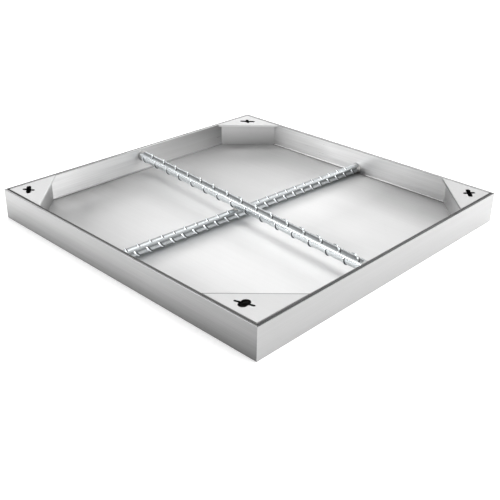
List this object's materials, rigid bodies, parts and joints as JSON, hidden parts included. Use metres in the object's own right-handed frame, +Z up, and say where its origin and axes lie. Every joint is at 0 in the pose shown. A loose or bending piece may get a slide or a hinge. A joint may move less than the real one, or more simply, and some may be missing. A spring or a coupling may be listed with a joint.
{
  "type": "recessed paving cover",
  "caption": "Square recessed steel cover: a loose folded tray in an angle frame, with crossed ribbed bars and keyhole plates at its corners, to be filled with paving.",
  "frame": {"origin": "middle of the frame's underside", "axes": "+Z up out of the ground, X and Y along the frame's sides"},
  "size_m": [0.6, 0.6, 0.054],
  "materials": {
    "frame_steel": "brushed stainless steel, streaks along each side",
    "tray_steel": "satin stainless sheet with faint drawn streaks",
    "plate_steel": "satin stainless plate, bright ground edges",
    "web_steel": "satin stainless strip",
    "bar_steel": "bright galvanised ribbed bar",
    "weld_metal": "weld bead, brushed and a little darkened",
    "seal_rubber": "closed cell foam rubber"
  },
  "bodies": {
    "root": {"frame_side_south": "frame_steel", "seal_strip_south": "seal_rubber", "frame_side_east": "frame_steel", "seal_strip_east": "seal_rubber", "frame_side_north": "frame_steel", "seal_strip_north": "seal_rubber", "frame_side_west": "frame_steel", "seal_strip_west": "seal_rubber", "tray": "tray_steel", "corner_plate_south_east": "plate_steel", "corner_web_south_east": "web_steel", "corner_plate_north_east": "plate_steel", "corner_web_north_east": "web_steel", "corner_plate_north_west": "plate_steel", "corner_web_north_west": "web_steel", "corner_plate_south_west": "plate_steel", "corner_web_south_west": "web_steel", "lower_bar": "bar_steel", "upper_bar": "bar_steel", "lower_bar_welds": "weld_metal", "upper_bar_welds": "weld_metal", "crossing_weld": "weld_metal"}
  },
  "joints": []
}
